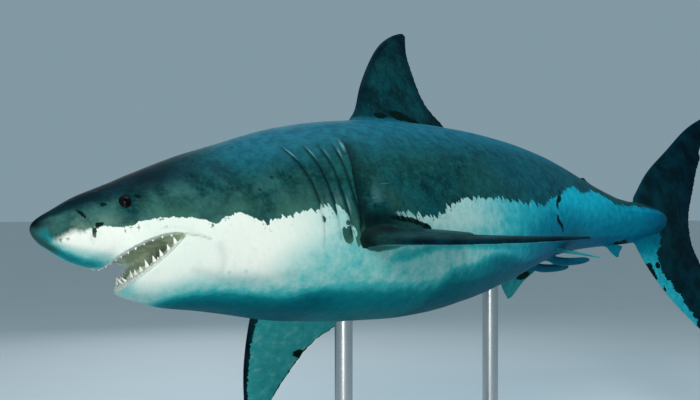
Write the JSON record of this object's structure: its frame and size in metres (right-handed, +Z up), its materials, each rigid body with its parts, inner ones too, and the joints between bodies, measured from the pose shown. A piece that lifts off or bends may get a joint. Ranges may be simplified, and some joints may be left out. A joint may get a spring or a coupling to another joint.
{
  "type": "great white shark",
  "caption": "Life-size great white shark swimming with its mouth ajar and its tail curved, held banked above a flat base by short rods.",
  "frame": {"origin": "middle of the stand's underside, on the floor", "axes": "+X toward the tail, along the shark's length; -Y toward the shark's left side; +Z up"},
  "size_m": [4.219, 1.6627, 1.9584],
  "materials": {
    "skin": "satin countershaded hide: slate back, white belly",
    "eye": "wet black gloss",
    "mouth_lining": "damp pale flesh",
    "tooth": "smooth ivory enamel",
    "stand_plate": "satin dark grey paint",
    "stand_rod": "brushed"
  },
  "bodies": {
    "root": {"head": "skin", "lower_jaw": "skin", "tongue": "mouth_lining", "eye_left": "eye", "eye_right": "eye", "gill_region": "skin", "trunk": "skin", "tail_stock": "skin", "first_dorsal_fin": "skin", "second_dorsal_fin": "skin", "anal_fin": "skin", "caudal_fin_upper_lobe": "skin", "caudal_fin_lower_lobe": "skin", "pectoral_fin_left": "skin", "pectoral_fin_right": "skin", "pelvic_fin_left": "skin", "pelvic_fin_right": "skin", "clasper_left": "skin", "clasper_right": "skin", "stand_base": "stand_plate", "stand_rod_front": "stand_rod", "stand_rod_rear": "stand_rod"}
  },
  "joints": []
}
